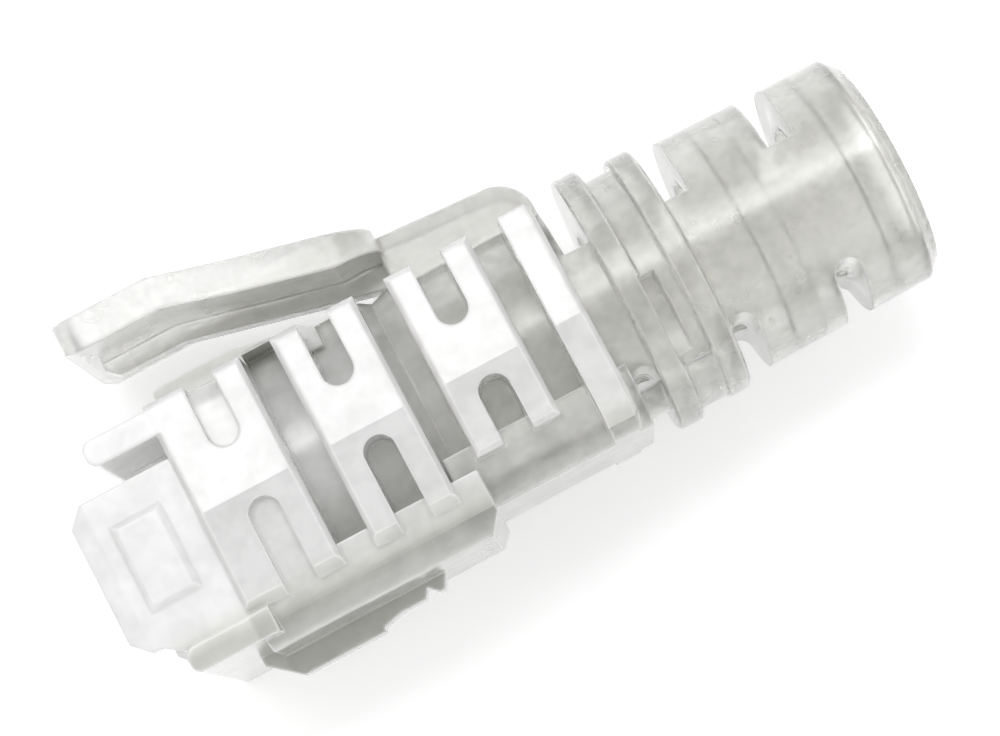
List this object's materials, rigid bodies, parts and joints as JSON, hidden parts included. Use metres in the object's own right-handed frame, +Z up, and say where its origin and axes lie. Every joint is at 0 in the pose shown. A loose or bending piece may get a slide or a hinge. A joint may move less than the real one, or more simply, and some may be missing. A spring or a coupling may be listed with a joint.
{
  "type": "rj45 strain relief boot",
  "caption": "One-piece translucent strain relief boot: box mouth with side claws, finger-grip pads, snag guard arm over the latch and a slotted round cable tail.",
  "frame": {"origin": "centre of the footprint at the ground, the boot lying on its side pads", "axes": "+X along the cable axis from the mouth to the cable end, +Y towards the guard arm, +Z up"},
  "size_m": [0.0352, 0.0164, 0.0136],
  "materials": {
    "translucent_plastic": "natural, milky-clear soft moulded plastic, semi-gloss"
  },
  "bodies": {
    "root": {"strain_relief_boot": "translucent_plastic"}
  },
  "joints": []
}
